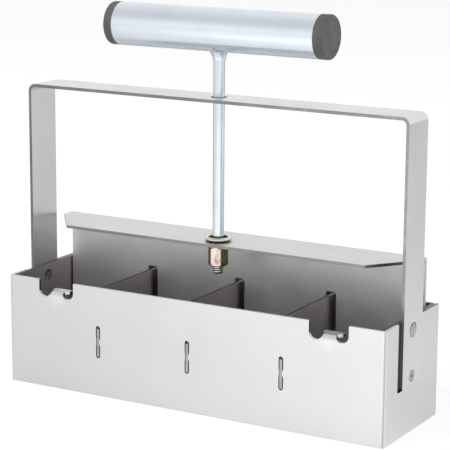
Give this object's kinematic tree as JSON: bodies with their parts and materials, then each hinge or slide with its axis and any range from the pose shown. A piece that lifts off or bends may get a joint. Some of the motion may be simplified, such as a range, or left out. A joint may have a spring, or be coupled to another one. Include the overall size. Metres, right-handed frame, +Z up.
{
  "type": "soil blocker",
  "caption": "Hand soil blocker: open steel tray of square cells in a strap bail, with a T-handled sliding plunger that pushes out pressed soil blocks.",
  "frame": {"origin": "middle of the tray's footprint, on the ground that it stands on", "axes": "+X along the tray, -Y towards the front wall with its two up-stops, +Z up along the rod"},
  "size_m": [0.2108, 0.06, 0.1942],
  "materials": {
    "tray_steel": "brushed satin sheet steel with bright cut edges",
    "strap_steel": "satin strip steel",
    "rivet_steel": "dull set rivets",
    "press_steel": "brushed satin sheet steel",
    "zinc": "bright blue-white zinc plating",
    "yellow_zinc": "yellow-pink passivated zinc plating",
    "nickel": "bright plating with a slight yellow tinge",
    "cap_plastic": "matt dark grey moulded plastic"
  },
  "bodies": {
    "tray": {"front_shell": "tray_steel", "back_shell": "tray_steel", "divider_1": "tray_steel", "divider_2": "tray_steel", "divider_3": "tray_steel", "bail_strap": "strap_steel", "upper_rivets": "rivet_steel", "lower_rivets": "rivet_steel"},
    "plunger": {"press_carrier": "press_steel", "press_plate_1": "press_steel", "press_plate_2": "press_steel", "press_plate_3": "press_steel", "press_plate_4": "press_steel", "plate_rivets": "rivet_steel", "plunger_rod": "zinc", "cup_washer": "nickel", "flat_washer": "nickel", "rod_nut": "yellow_zinc", "handle_weld": "zinc", "handle_tube": "zinc", "end_cap_left": "cap_plastic", "end_cap_right": "cap_plastic"}
  },
  "joints": [
    {"name": "plunger_slide", "type": "slide", "parent": "tray", "child": "plunger", "axis": [0, 0, 1], "range_m": [-0.0014, 0.0465]}
  ]
}
